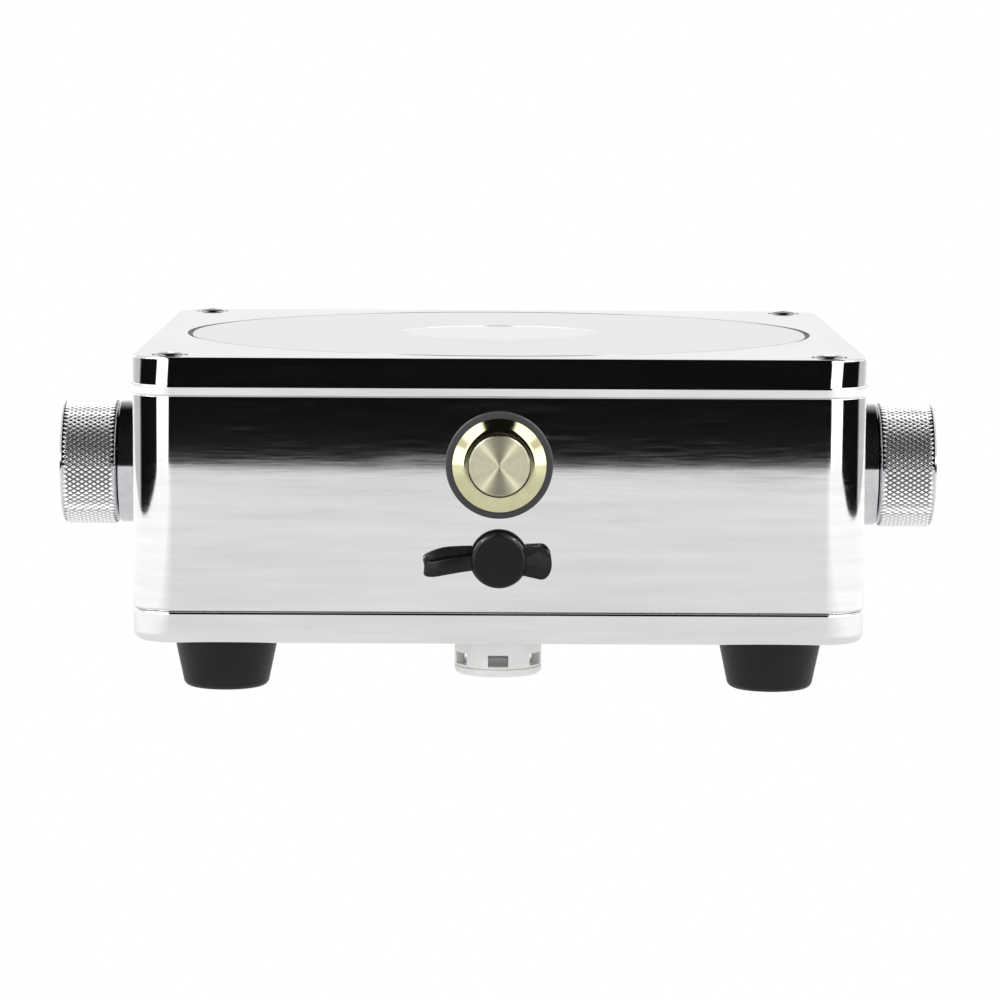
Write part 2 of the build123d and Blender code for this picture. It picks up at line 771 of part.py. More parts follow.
def foot_screws():
    return [foot_screw(x, y) for x, y in corners(FOOT_AT)]


def breather_plug():
    plug = rod(BREATHER_R, Z_BREATHER, Z_BASE)
    plug = chamfer(plug.edges().sort_by(Axis.Z)[0], 0.7)
    plug -= rod(8.3, Z_BREATHER + 2.2, Z_BREATHER + 8.0)
    plug -= rod(BREATHER_R + 1, Z_BREATHER + 1.8, Z_BREATHER + 2.1) - rod(BREATHER_R - 0.5, 0, Z_BASE)
    for i in range(6):
        wedge = Pos(8.5, 0, Z_BREATHER + 3.95) * Box(8, 4.9, 2.9)
        plug -= Rot(0, 0, 30 + 60 * i) * wedge
    plug += rod(6.0, Z_BASE, Z_FLOOR + 4.5)
    plug -= rod(3.5, Z_BREATHER + 7, Z_FLOOR + 6)
    return Pos(0, BREATHER_Y, 0) * plug


def breather_nut():
    nut = Pos(0, BREATHER_Y, Z_FLOOR) * hexagon(17, 3.5)
    return nut - rod(6.0, Z_FLOOR - 1, Z_FLOOR + 5, 0, BREATHER_Y)


# Wiring


def lead(*points):
    path = Polyline(*points)
    start = Plane(origin=path @ 0, z_dir=path % 0)
    return sweep(start * Circle(0.9), path=path, transition=Transition.ROUND)


def block_hole(i, y_out):
    """The first two points of a lead that leaves a hole of the terminal block."""
    x, z = -18.3 + 7.3 * i, Z_PARTS + 3.5
    return (x, 52, z), (x, y_out, z)


def element_leads():
    (ax, ay), (bx, by) = terminals()
    low = Z_PARTS + 14
    return [
        lead(*block_hole(0, ay), (ax, ay, low - 2), (ax, ay, Z_PIN)),
        lead(*block_hole(1, ay - 1.9), (-11, ay - 1.9, low), (bx, by, low + 1), (bx, by, Z_PIN)),
    ]


def button_leads():
    y, z = PANEL + TABS_END, Z_BUTTON
    under = Z_SHIELD - 11
    return [
        lead(*block_hole(5, 60), (30, 60, under), (30, -20, under), (4.5, y + 10, z), (4.5, y, z)),
        lead(*block_hole(4, 57), (16, 57, under), (16, -10, under), (0, y + 10, z), (0, y, z)),
    ]


def socket_leads():
    pin, tab = Z_SOCKET, Z_SOCKET - 3
    y = PANEL + PIN_END
    over = Z_PARTS + 16.5
    inner = [(40, 66, over - 8), (40, 40, over), (40, -38, over)]
    inner += [(22, y + 10, over), (0, y + 6, pin), (0, y, pin)]
    beside = [(44, 70, over - 9), (44, 44, over - 6), (44, -42, over - 6)]
    outer = [*beside, (24, y + 6, pin - 1), (0, y + 6, tab), (0, y + 2, tab)]
    return [lead(*block_hole(3, 66), *inner), lead(*block_hole(2, 70), *outer)]


def wiring():
    return element_leads() + button_leads() + socket_leads()


NODES = [
    lid_cover, body_shell, base_cover, lid_seal, base_seal, lid_screws, base_screws,
    hot_plate, plate_seal, heating_element, element_bushes, element_pins, clamp_plate,
    insulation_pad, heat_shield, clamp_screws, thermal_cutout, cutout_screws, temp_probe,
    probe_nut, plate_pillars, pillar_screws, control_board, board_standoffs, board_screws,
    heatsink, power_transistors, capacitors, terminal_block, inductor, controller_chip,
    button_bezel, button_actuator, button_gasket, button_nut, button_spring, button_switch,
    button_terminals, dc_socket, socket_insert, socket_contacts, socket_nut, strap_ring,
    cap_strap, dust_cap, dial_collars, left_knob, right_knob, left_shaft, right_shaft,
    left_grub, right_grub, dial_pots, dial_nuts, feet, foot_screws, breather_plug,
    breather_nut, wiring,
]


def solids_of(made):
    items = made if isinstance(made, list) else [made]
    return [solid for item in items for solid in item.solids()]


def save(make):
    solids = [solid.moved(Location((0, SETBACK, 0))) for solid in solids_of(make())]
    shape = solids[0] if len(solids) == 1 else Compound(children=solids)
    export_step(shape, f"parts/{make.__name__}.step")


os.makedirs("parts", exist_ok=True)
for node in NODES:
    save(node)
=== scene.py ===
"""Looks of the tabletop hot plate, built as an add-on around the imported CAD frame."""

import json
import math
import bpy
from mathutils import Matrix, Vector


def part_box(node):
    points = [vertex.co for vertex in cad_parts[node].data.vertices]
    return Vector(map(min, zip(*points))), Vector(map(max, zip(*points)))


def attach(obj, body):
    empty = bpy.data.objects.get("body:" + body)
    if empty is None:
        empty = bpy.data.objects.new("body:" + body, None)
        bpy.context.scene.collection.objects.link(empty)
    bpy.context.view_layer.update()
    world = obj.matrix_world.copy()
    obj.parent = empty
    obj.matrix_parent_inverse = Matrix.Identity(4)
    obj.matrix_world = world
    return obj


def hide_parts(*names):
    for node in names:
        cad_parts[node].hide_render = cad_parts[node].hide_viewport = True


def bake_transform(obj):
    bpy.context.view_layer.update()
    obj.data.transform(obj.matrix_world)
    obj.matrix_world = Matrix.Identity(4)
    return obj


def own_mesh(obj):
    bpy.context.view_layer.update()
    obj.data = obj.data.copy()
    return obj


bl_info = {
    "name": "Tabletop Hot Plate",
    "version": (1, 0, 0),
    "blender": (4, 5, 0),
    "location": "3D View > Sidebar > Hot Plate",
    "description": "Builds the visible pieces, finishes and studio of a tabletop hot plate",
    "category": "Add Mesh",
}

import bmesh
import bpy
from bpy.props import FloatProperty, FloatVectorProperty, IntProperty, PointerProperty
from mathutils import Matrix, Vector

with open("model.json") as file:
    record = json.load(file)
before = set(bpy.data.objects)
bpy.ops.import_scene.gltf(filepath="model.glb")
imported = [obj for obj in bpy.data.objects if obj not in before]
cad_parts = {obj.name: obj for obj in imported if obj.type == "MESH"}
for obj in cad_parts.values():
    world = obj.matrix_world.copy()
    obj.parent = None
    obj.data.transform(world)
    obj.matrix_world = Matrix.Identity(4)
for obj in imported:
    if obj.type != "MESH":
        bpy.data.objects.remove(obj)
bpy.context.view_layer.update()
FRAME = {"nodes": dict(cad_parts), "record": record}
MM = 0.001


def middle(node_name):
    """The centre of a CAD node's box, in metres."""
    low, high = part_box(node_name)
    return (low + high) / 2


AXIS_Y = middle("body_shell").y
PANEL_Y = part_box("body_shell")[0].y
BUTTON = middle("button_bezel")
TAB_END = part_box("dust_cap")[1].x
CAP_Z = middle("strap_ring").z
DIAL_Z = middle("right_shaft").z

# Where most of a noise pattern's values lie
NOISE_LOW, NOISE_HIGH = 0.3, 0.7
# How far the brighter middle of the plate fades out, in mm
MIDDLE_EDGE_MM = 3.0
SCREW_LENGTH_MM = 16.8


# Colour and node helpers


def linear(hex_colour):
    """An sRGB hex colour as linear red, green, blue and alpha."""
    parts = [int(hex_colour[i : i + 2], 16) / 255 for i in (1, 3, 5)]
    tones = [c / 12.92 if c <= 0.04045 else ((c + 0.055) / 1.055) ** 2.4 for c in parts]
    return [*tones, 1.0]


def node(tree, kind, inputs=(), **settings):
    """Adds a node, applies its settings, and sets or links its inputs.

    The inputs are a dict by name or number, or a list in the order of the sockets. Each is a
    plain value, a socket, or a node, whose first output is then used.
    """
    made = tree.nodes.new(kind)
    for name, value in settings.items():
        setattr(made, name, value)
    numbered = inputs if isinstance(inputs, dict) else dict(enumerate(inputs))
    for socket, value in numbered.items():
        if isinstance(value, bpy.types.Node):
            value = value.outputs[0]
        if isinstance(value, bpy.types.NodeSocket):
            tree.links.new(value, made.inputs[socket])
        else:
            made.inputs[socket].default_value = value
    return made


def shade(colour):
    """A finish's linear colour, from a hex string or from a setting."""
    return linear(colour) if isinstance(colour, str) else [*colour, 1.0]


def new_material(name, metallic, roughness, colour):
    """A material with its shader node, whose constants sit on the shader itself."""
    material = bpy.data.materials.new(name)
    material.use_nodes = True
    tree = material.node_tree
    tree.nodes.clear()
    shader = node(
        tree,
        "ShaderNodeBsdfPrincipled",
        {"Base Color": shade(colour), "Metallic": metallic, "Roughness": roughness},
    )
    node(tree, "ShaderNodeOutputMaterial", {"Surface": shader})
    material.diffuse_color = shade(colour)
    return material, tree, shader


def dress(tree, shader, colour=None, roughness=None, normal=None):
    """Links what varies over a surface to its shader."""
    for name, socket in (("Base Color", colour), ("Roughness", roughness), ("Normal", normal)):
        if socket is not None:
            tree.links.new(socket, shader.inputs[name])


def pattern(tree, period_mm, detail=2.0, rough=0.5):
    """Noise on Object coordinates whose grain has the given real size along X, Y and Z."""
    place = node(tree, "ShaderNodeTexCoord")
    scale = [1 / (period * MM) for period in period_mm]
    mapped = node(tree, "ShaderNodeMapping", {"Vector": place.outputs["Object"], "Scale": scale})
    return node(
        tree,
        "ShaderNodeTexNoise",
        {"Vector": mapped, "Scale": 1.0, "Detail": detail, "Roughness": rough},
    )


def off_axis(tree, centre, axis):
    """The arm from an axis to the point being shaded, and its length."""
    place = node(tree, "ShaderNodeTexCoord")
    spot = place.outputs["Object"]
    arm = node(tree, "ShaderNodeVectorMath", [spot, centre], operation="SUBTRACT")
    flat = [0.0 if along else 1.0 for along in axis]
    across = node(tree, "ShaderNodeVectorMath", [arm, flat], operation="MULTIPLY")
    length = node(tree, "ShaderNodeVectorMath", [across], operation="LENGTH")
    return across, length.outputs["Value"]


# Finishes


def polished_aluminium(name, colour, grain_mm, haze):
    """Hand-polished aluminium: a mirror with slight waves, hairline scratches and scuffs."""
    material, tree, shader = new_material(name, 1.0, 0.05, colour)
    waves = pattern(tree, (24, 24, 15), 1.0)
    hairs = pattern(tree, grain_mm, 3.0, 0.65)
    scuffs = pattern(tree, (46, 46, 3.2), 4.0, 0.6)
    worn = node(tree, "ShaderNodeMapRange", [scuffs, 0.56, 0.86, 0.0, 1.0])
    deeper = node(tree, "ShaderNodeMath", [worn, 0.5], operation="ADD")
    depth = node(tree, "ShaderNodeMath", [hairs, deeper], operation="MULTIPLY")
    wavy = node(tree, "ShaderNodeBump", {"Strength": 1.0, "Distance": 0.005 * MM, "Height": waves})
    scratched = node(
        tree,
        "ShaderNodeBump",
        {"Strength": 1.0, "Distance": 0.0007 * MM, "Height": depth, "Normal": wavy},
    )
    fine = node(tree, "ShaderNodeMapRange", [hairs, NOISE_LOW, NOISE_HIGH, 0.025, 0.06])
    dulled = node(tree, "ShaderNodeMath", [worn, haze], operation="MULTIPLY")
    rough = node(tree, "ShaderNodeMath", [fine, dulled], operation="ADD")
    cloud = node(tree, "ShaderNodeMapRange", [scuffs, NOISE_LOW, NOISE_HIGH, 0.0, 1.0])
    tones = {0: cloud, 6: shade(colour), 7: linear("#E2E3E4")}
    tint = node(tree, "ShaderNodeMix", tones, data_type="RGBA")
    dress(tree, shader, tint.outputs[2], rough.outputs[0], scratched.outputs[0])
    return material


def turned_metal(name, colour, darker, roughness, centre, axis, depth_mm, middle_mm=0.0):
    """Lathe-turned metal: fine rings round the axis, and a lighter tint within middle_mm of the
    axis where that is given.
    """
    material, tree, shader = new_material(name, 1.0, roughness, colour)
    radius = off_axis(tree, centre, axis)[1]
    rings = node(
        tree,
        "ShaderNodeTexNoise",
        {"W": radius, "Scale": 1 / (0.35 * MM), "Detail": 3.0},
        noise_dimensions="1D",
    )
    cloud = pattern(tree, (2.5, 2.5, 2.5), 3.0)
    share = node(tree, "ShaderNodeMapRange", [cloud, NOISE_LOW, NOISE_HIGH, 0.0, 1.0])
    tones = {0: share, 6: linear(colour), 7: linear(darker)}
    tint = node(tree, "ShaderNodeMix", tones, data_type="RGBA")
    if middle_mm:
        rim = (middle_mm - MIDDLE_EDGE_MM) * MM
        inside = node(tree, "ShaderNodeMapRange", [radius, rim, middle_mm * MM, 1.0, 0.0])
        tones = {0: inside, 6: tint.outputs[2], 7: linear("#F0F1F2")}
        tint = node(tree, "ShaderNodeMix", tones, data_type="RGBA")
    grooves = node(
        tree, "ShaderNodeBump", {"Strength": 1.0, "Distance": depth_mm * MM, "Height": rings}
    )
    dress(tree, shader, tint.outputs[2], normal=grooves.outputs[0])
    return material


def circle_brushed(name, colour, darker, centre, axis):
    """Metal brushed in circles: each highlight is drawn out towards and away from the centre."""
    material, tree, shader = new_material(name, 1.0, 0.4, colour)
    shader.inputs["Anisotropic"].default_value = 0.95
    across, radius = off_axis(tree, centre, axis)
    outward = node(tree, "ShaderNodeVectorMath", [across], operation="NORMALIZE")
    tree.links.new(outward.outputs[0], shader.inputs["Tangent"])
    rings = node(
        tree,
        "ShaderNodeTexNoise",
        {"W": radius, "Scale": 1 / (0.3 * MM), "Detail": 3.0},
        noise_dimensions="1D",
    )
    share = node(tree, "ShaderNodeMapRange", [rings, NOISE_LOW, NOISE_HIGH, 0.0, 1.0])
    tones = {0: share, 6: linear(colour), 7: linear(darker)}
    tint = node(tree, "ShaderNodeMix", tones, data_type="RGBA")
    dress(tree, shader, tint.outputs[2])
    return material


def burnished_knurl(name, tip, painted_valley_shade):
    """Knurled metal whose tips are burnished bright and smooth, while the valleys stay dull and are
    darkened with painted shade.
    """
    knob = settings().knobs
    material, tree, shader = new_material(name, 1.0, 0.16, tip)
    radius = off_axis(tree, (0.0, AXIS_Y, DIAL_Z), (1, 0, 0))[1]
    low, high = knob.radius - 0.95 * knob.depth, knob.radius - 0.4 * knob.depth
    # Painted shade: the colour darkens from the tips down into the valleys of the knurl; the
    # roughness there is real.
    burnish_and_shade = node(tree, "ShaderNodeMapRange", [radius, low, high, 0.0, 1.0])
    tones = {0: burnish_and_shade, 6: linear(painted_valley_shade), 7: linear(tip)}
    tint = node(tree, "ShaderNodeMix", tones, data_type="RGBA")
    rough = node(tree, "ShaderNodeMapRange", [burnish_and_shade, 0.0, 1.0, 0.4, 0.15])
    dress(tree, shader, tint.outputs[2], rough.outputs[0])
    return material


def machined_metal(name, colour, darker, roughness, grain_mm=(0.6, 0.6, 0.6), depth_mm=0.004):
    """Plain machined or rolled metal with a fine grain and faint clouding."""
    material, tree, shader = new_material(name, 1.0, roughness, colour)
    cloud = pattern(tree, (4, 4, 4), 3.0)
    grain = pattern(tree, grain_mm)
    share = node(tree, "ShaderNodeMapRange", [cloud, NOISE_LOW, NOISE_HIGH, 0.0, 1.0])
    tones = {0: share, 6: shade(colour), 7: linear(darker)}
    tint = node(tree, "ShaderNodeMix", tones, data_type="RGBA")
    limits = [roughness * 0.8, roughness * 1.25]
    rough = node(tree, "ShaderNodeMapRange", [grain, NOISE_LOW, NOISE_HIGH, *limits])
    grained = node(
        tree, "ShaderNodeBump", {"Strength": 1.0, "Distance": depth_mm * MM, "Height": grain}
    )
    dress(tree, shader, tint.outputs[2], rough.outputs[0], grained.outputs[0])
    return material


def moulded(name, colour, second, roughness, grain_mm, depth_mm, ior=1.5, coat=0.0):
    """A moulded material: the fine skin of its mould, with colour that drifts a little."""
    material, tree, shader = new_material(name, 0.0, roughness, colour)
    shader.inputs["IOR"].default_value = ior
    shader.inputs["Coat Weight"].default_value = coat
    drift = pattern(tree, (6, 6, 6), 3.0)
    skin = pattern(tree, (grain_mm,) * 3, 3.0, 0.6)
    share = node(tree, "ShaderNodeMapRange", [drift, NOISE_LOW, NOISE_HIGH, 0.0, 1.0])
    tones = {0: share, 6: shade(colour), 7: linear(second)}
    tint = node(tree, "ShaderNodeMix", tones, data_type="RGBA")
    limits = [roughness * 0.85, roughness * 1.15]
    rough = node(tree, "ShaderNodeMapRange", [skin, NOISE_LOW, NOISE_HIGH, *limits])
    grained = node(
        tree, "ShaderNodeBump", {"Strength": 1.0, "Distance": depth_mm * MM, "Height": skin}
    )
    dress(tree, shader, tint.outputs[2], rough.outputs[0], grained.outputs[0])
    return material


def make_finishes():
    """Every finish of the object, by the record's material slot or by the piece it is for."""
    chosen = settings().finishes
    button_face = (0.0, 0.0, BUTTON.z)
    dial = (0.0, AXIS_Y, DIAL_Z)
    return {
        # Polished extrusion, scratched lengthwise: reads as a mirror with horizontal hairlines.
        "walls": polished_aluminium(
            "polished_aluminium_walls", chosen.walls, (14, 14, 0.35), haze=0.05
        ),
        # The same polish on the flat lid, scratched from side to side.
        "lid": polished_aluminium(
            "polished_aluminium_lid", chosen.lid, (34, 0.7, 1.6), haze=0.04
        ),
        # The heated face, fine-turned and slightly greyer than the lid.
        "plate_metal": turned_metal(
            "turned_plate", "#E2E3E4", "#DCDDDE", 0.14, (0, AXIS_Y, 0), (0, 0, 1), 0.001, 24.5
        ),
        # Bright nickel on the lid and foot screws: small sharp highlights.
        "steel": machined_metal("bright_nickel_steel", "#C9C9CB", "#B4B4B7", 0.14),
        # Knurled aluminium, burnished at the tips, with painted shade in the valleys.
        "knurl": burnished_knurl("knurled_aluminium", "#F2F2F3", "#3C3C3F"),
        # The smooth turned collar and knob ends.
        "knob_metal": turned_metal(
            "turned_aluminium", "#DCDCDE", "#CFD0D3", 0.1, dial, (1, 0, 0), 0.0006
        ),
        # Nickel-brass bezel: a warm mirror.
        "bezel_metal": machined_metal(
            "nickel_brass", chosen.bezel, "#D2CEA4", 0.07, (2, 2, 2), 0.001
        ),
        # Push face, brushed in circles: the highlights fan out from its centre.
        "actuator_metal": circle_brushed(
            "circle_brushed_nickel_brass", "#CFCCB4", "#BBB79C", button_face, (0, 1, 0)
        ),
        # Satin moulded rubber, near black, for the cap and strap.
        "cap_rubber": moulded("satin_black_rubber", "#050506", "#0B0B0C", 0.3, 0.5, 0.005, 1.36),
        # Matt moulded rubber of the feet.
        "black_rubber": moulded("matt_black_rubber", "#060607", "#0B0B0C", 0.45, 0.6, 0.01, 1.38),
        # Greyer flat gasket behind the push button.
        "gasket_rubber": moulded(
            "grey_gasket_rubber", "#222225", "#2B2B2F", 0.45, 0.4, 0.006, 1.52
        ),
        # Dark heat-proof silicone in the ring gap and seals.
        "silicone": moulded("dark_silicone", "#2A2A2B", "#333334", 0.42, 0.5, 0.006, 1.41),
        # White moulded nylon with a soft sheen.
        "white_plastic": moulded("white_nylon", chosen.breather, "#E6E6E3", 0.38, 0.7, 0.008, 1.53),
        # Thermoset mouldings of the switch, the cut-out and the chips.
        "black_plastic": moulded("black_thermoset", "#17171A", "#202024", 0.4, 0.4, 0.006),
        # Coloured nylon of the terminal block.
        "green_plastic": moulded("green_terminal_nylon", "#1D7A45", "#186A3B", 0.35, 0.6, 0.006),
        # Solder mask over a glass-fibre laminate, with a thin gloss.
        "board_green": moulded(
            "solder_mask_laminate", "#14532F", "#1B6A3D", 0.28, 1.2, 0.01, 1.55, 0.3
        ),
        # Sheath of the element, browned by heat.
        "element_sheath": machined_metal("heat_darkened_sheath", "#6F655C", "#4C4540", 0.42),
        # Unglazed bushes on the element's ends: dry and chalky.
        "ceramic": moulded("unglazed_ceramic", "#EFE9DC", "#E2DBCB", 0.6, 0.3, 0.01, 1.6),
        # Pressed ceramic fibre: matt, with a felted skin.
        "fibre": moulded("pressed_ceramic_fibre", "#EDEBE3", "#DAD7CC", 0.85, 0.8, 0.08),
        # Sheet as it comes from the mill, with its rolling grain.
        "sheet_steel": machined_metal(
            "mill_finish_sheet", "#B9BABD", "#9FA0A4", 0.3, (0.4, 8, 0.4)
        ),
        # Turned brass of pins, stand-offs and the probe.
        "brass": machined_metal("turned_brass", "#D8B46A", "#C49E55", 0.25),
        # Black anodised extrusion of the heatsink: dark with a satin gloss.
        "black_anodised": machined_metal("black_anodised_extrusion", "#1B1C1F", "#26272B", 0.38),
        # Shrunk sleeve of the capacitors.
        "capacitor_sleeve": moulded("shrunk_sleeve", "#1B2440", "#232E50", 0.25, 0.8, 0.004),
        # Varnished copper winding on a coated ring core.
        "ferrite": moulded("coated_ferrite_winding", "#6B3A1E", "#4A2A18", 0.4, 0.5, 0.05),
        # Silicone sleeve of the leads.
        "lead_sleeve": moulded(
            "red_silicone_sleeve", "#A5231C", "#8E1D17", 0.42, 0.5, 0.005, 1.41
        ),
    }


# Filled once the settings are registered
FINISH = {}


# Mesh helpers


def piece(name, bm, material, body, replaced=(), smooth=True):
    """Links a finished mesh as a piece that rides on a CAD body."""
    mesh = bpy.data.meshes.new(name)
    bm.to_mesh(mesh)
    bm.free()
    obj = bpy.data.objects.new(name, mesh)
    bpy.context.scene.collection.objects.link(obj)
    if material is not None:
        mesh.materials.append(material)
    mesh.polygons.foreach_set("use_smooth", [smooth] * len(mesh.polygons))
    settle(obj, body, replaced)
    return obj


def settle(obj, body, replaced):
    """Hangs a piece on the body it rides on, and hides the CAD nodes it stands for."""
    if body:
        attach(obj, body)
    if replaced:
        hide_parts(*replaced)


def merged_copy(node_name):
    """A CAD node's mesh with its loose triangles joined."""
    bm = bmesh.new()
    bm.from_mesh(FRAME["nodes"][node_name].data)
    bmesh.ops.remove_doubles(bm, verts=bm.verts, dist=0.002 * MM)
    return bm


def even_normals(mesh, crisp):
    """Keeps flat faces flat, and weighs the normals of roundings by the area of their faces."""
    around = [[] for _ in mesh.vertices]
    for face in mesh.polygons:
        for vertex in face.vertices:
            around[vertex].append((face.normal.copy(), face.area))
    normals = [None] * len(mesh.loops)
    for face in mesh.polygons:
        for corner, vertex in zip(face.loop_indices, face.vertices):
            near = [(n, area) for n, area in around[vertex] if n.dot(face.normal) > math.cos(crisp)]
            flat = [n for n, _ in near if max(abs(c) for c in n) > 0.99999]
            if flat:
                normals[corner] = max(flat, key=face.normal.dot)
            else:
                normals[corner] = sum((n * area for n, area in near), Vector()).normalized()
    mesh.normals_split_custom_set(normals)


def smooth_piece(node_name, name, material, body="housing", angle=28):
    """A smooth-shaded copy of a CAD node, with crisp edges kept, that stands for it."""
    obj = piece(name, merged_copy(node_name), material, body, (node_name,))
    obj.data.set_sharp_from_angle(angle=math.radians(angle))
    even_normals(obj.data, math.radians(angle))
    return obj


def add_mesh(obj, other, material):
    """Moves another piece's mesh into a piece, with a material of its own."""
    bm = bmesh.new()
    bm.from_mesh(obj.data)
    own_faces = len(bm.faces)
    bm.from_mesh(other.data)
    for face in list(bm.faces)[own_faces:]:
        face.material_index = len(obj.data.materials)
    obj.data.materials.append(material)
    bm.to_mesh(obj.data)
    bm.free()
    spent = other.data
    bpy.data.objects.remove(other)
    bpy.data.meshes.remove(spent)


def ring_radius(shape, angle):
    """The radius of a ring at an angle: a number is a circle, a pair is a hexagon across flats."""
    if isinstance(shape, tuple):
        half = shape[1] / 2
        return half / math.cos((angle + math.pi / 6) % (math.pi / 3) - math.pi / 6)
    return shape


def ringed(rings, segments):
    """A closed mesh through rings of (shape, height) round +Z, in millimetres."""
    bm = bmesh.new()
    loops = []
    for shape, z in rings:
        loop = []
        for i in range(segments):
            a = 2 * math.pi * i / segments
            r = ring_radius(shape, a) * MM
            loop.append(bm.verts.new((r * math.cos(a), r * math.sin(a), z * MM)))
        loops.append(loop)
    for low, high in zip(loops, loops[1:]):
        for i in range(segments):
            j = (i + 1) % segments
            bm.faces.new((low[i], low[j], high[j], high[i]))
    bm.faces.new(list(reversed(loops[0])))
    bm.faces.new(loops[-1])
    bmesh.ops.recalc_face_normals(bm, faces=bm.faces)
    return bm


# Geometry Nodes helpers


def new_tree(name, sizes):
    """A geometry tree with a geometry input and named size inputs."""
    tree = bpy.data.node_groups.new(name, "GeometryNodeTree")
    tree.interface.new_socket("Geometry", in_out="INPUT", socket_type="NodeSocketGeometry")
    for label, (kind, value) in sizes.items():
        socket = tree.interface.new_socket(label, in_out="INPUT", socket_type=kind)
        if kind != "NodeSocketMaterial":
            socket.default_value = value
    tree.interface.new_socket("Geometry", in_out="OUTPUT", socket_type="NodeSocketGeometry")
    return tree, node(tree, "NodeGroupInput").outputs


def grow(obj, tree, values):
    """Runs a tree on an object and keeps the result as a plain mesh."""
    modifier = obj.modifiers.new(tree.name, "NODES")
    modifier.node_group = tree
    for item in tree.interface.items_tree:
        if item.in_out == "INPUT" and item.name in values:
            modifier[item.identifier] = values[item.name]
    depsgraph = bpy.context.evaluated_depsgraph_get()
    mesh = bpy.data.meshes.new_from_object(obj.evaluated_get(depsgraph))
    obj.modifiers.remove(modifier)
    old = obj.data
    obj.data = mesh
    bpy.data.meshes.remove(old)
    mesh.name = obj.name
    return obj


def fastener_tree():
    """Copies the screw it is given to the four corners of a rectangle, each turned by chance."""
    tree, given = new_tree(
        "corner_fasteners",
        {
            "Spacing": ("NodeSocketFloat", 0.1546),
            "Centre": ("NodeSocketVector", (0, 0, 0)),
            "Seed": ("NodeSocketInt", 3),
            "Finish": ("NodeSocketMaterial", None),
        },
    )
    spots = node(
        tree,
        "GeometryNodeMeshGrid",
        {"Size X": given["Spacing"], "Size Y": given["Spacing"], "Vertices X": 2, "Vertices Y": 2},
    )
    turn = node(
        tree,
        "FunctionNodeRandomValue",
        {0: (0, 0, 0), 1: (0, 0, 2 * math.pi), "Seed": given["Seed"]},
        data_type="FLOAT_VECTOR",
    )
    placed = node(
        tree,
        "GeometryNodeInstanceOnPoints",
        {"Points": spots, "Instance": given["Geometry"], "Rotation": turn},
    )
    moved = node(
        tree, "GeometryNodeTransform", {"Geometry": placed, "Translation": given["Centre"]}
    )
    real = node(tree, "GeometryNodeRealizeInstances", [moved])
    coated = node(tree, "GeometryNodeSetMaterial", {"Geometry": real, "Material": given["Finish"]})
    node(tree, "NodeGroupOutput", [coated])
    return tree


def knurl_tree():
    """Rows of small truncated diamonds round the X axis, each row half a step on from the last."""
    tree, given = new_tree(
        "diamond_knurl",
        {
            "Radius": ("NodeSocketFloat", 0.0156),
            "Depth": ("NodeSocketFloat", 0.0004),
            "Starts": ("NodeSocketInt", 75),
            "Rows": ("NodeSocketInt", 11),
            "Row Step": ("NodeSocketFloat", 0.00112),
            "Tip Share": ("NodeSocketFloat", 0.3),
            "Start": ("NodeSocketVector", (0, 0, 0)),
            "Finish": ("NodeSocketMaterial", None),
        },
    )
    count = node(tree, "ShaderNodeMath", [given["Starts"], given["Rows"]], operation="MULTIPLY")
    line = node(tree, "GeometryNodeMeshLine", {"Count": count})
    index = node(tree, "GeometryNodeInputIndex")
    turns = node(tree, "ShaderNodeMath", [index, given["Starts"]], operation="DIVIDE")
    row = node(tree, "ShaderNodeMath", [turns], operation="FLOOR")
    column = node(tree, "ShaderNodeMath", [index, given["Starts"]], operation="MODULO")
    odd = node(tree, "ShaderNodeMath", [row, 2.0], operation="MODULO")
    half_step = node(tree, "ShaderNodeMath", [odd, 0.5], operation="MULTIPLY")
    steps = node(tree, "ShaderNodeMath", [column, half_step], operation="ADD")
    step = node(tree, "ShaderNodeMath", [2 * math.pi, given["Starts"]], operation="DIVIDE")
    angle = node(tree, "ShaderNodeMath", [steps, step], operation="MULTIPLY")
    forward = node(tree, "ShaderNodeMath", [angle], operation="COSINE")
    upward = node(tree, "ShaderNodeMath", [angle], operation="SINE")
    out = node(tree, "ShaderNodeCombineXYZ", [0.0, forward, upward])
    lifted = node(
        tree, "ShaderNodeVectorMath", {0: out, "Scale": given["Radius"]}, operation="SCALE"
    )
    along = node(tree, "ShaderNodeMath", [row, given["Row Step"]], operation="MULTIPLY")
    shifted = node(tree, "ShaderNodeCombineXYZ", [along])
    spot = node(tree, "ShaderNodeVectorMath", [lifted, shifted], operation="ADD")
    spot = node(tree, "ShaderNodeVectorMath", [spot, given["Start"]], operation="ADD")
    points = node(tree, "GeometryNodeSetPosition", {"Geometry": line, "Position": spot})
    tooth = node(
        tree,
        "GeometryNodeMeshCone",
        {"Vertices": 4, "Radius Top": given["Tip Share"], "Radius Bottom": 1.0, "Depth": 1.0},
    )
    facing = node(
        tree,
        "FunctionNodeAxesToRotation",
        {"Primary Axis": out, "Secondary Axis": (1.0, 0.0, 0.0)},
        primary_axis="Z",
        secondary_axis="X",
    )
    pitch = node(tree, "ShaderNodeMath", [step, given["Radius"]], operation="MULTIPLY")
    half_width = node(tree, "ShaderNodeMath", [pitch, 0.5], operation="MULTIPLY")
    size = node(tree, "ShaderNodeCombineXYZ", [given["Row Step"], half_width, given["Depth"]])
    teeth = node(
        tree,
        "GeometryNodeInstanceOnPoints",
        {"Points": points, "Instance": tooth, "Rotation": facing, "Scale": size},
    )
    real = node(tree, "GeometryNodeRealizeInstances", [teeth])
    crisp = node(tree, "GeometryNodeSetShadeSmooth", {"Geometry": real, "Shade Smooth": False})
    coated = node(tree, "GeometryNodeSetMaterial", {"Geometry": crisp, "Material": given["Finish"]})
    node(tree, "NodeGroupOutput", [coated])
    return tree


# Settings a user would change


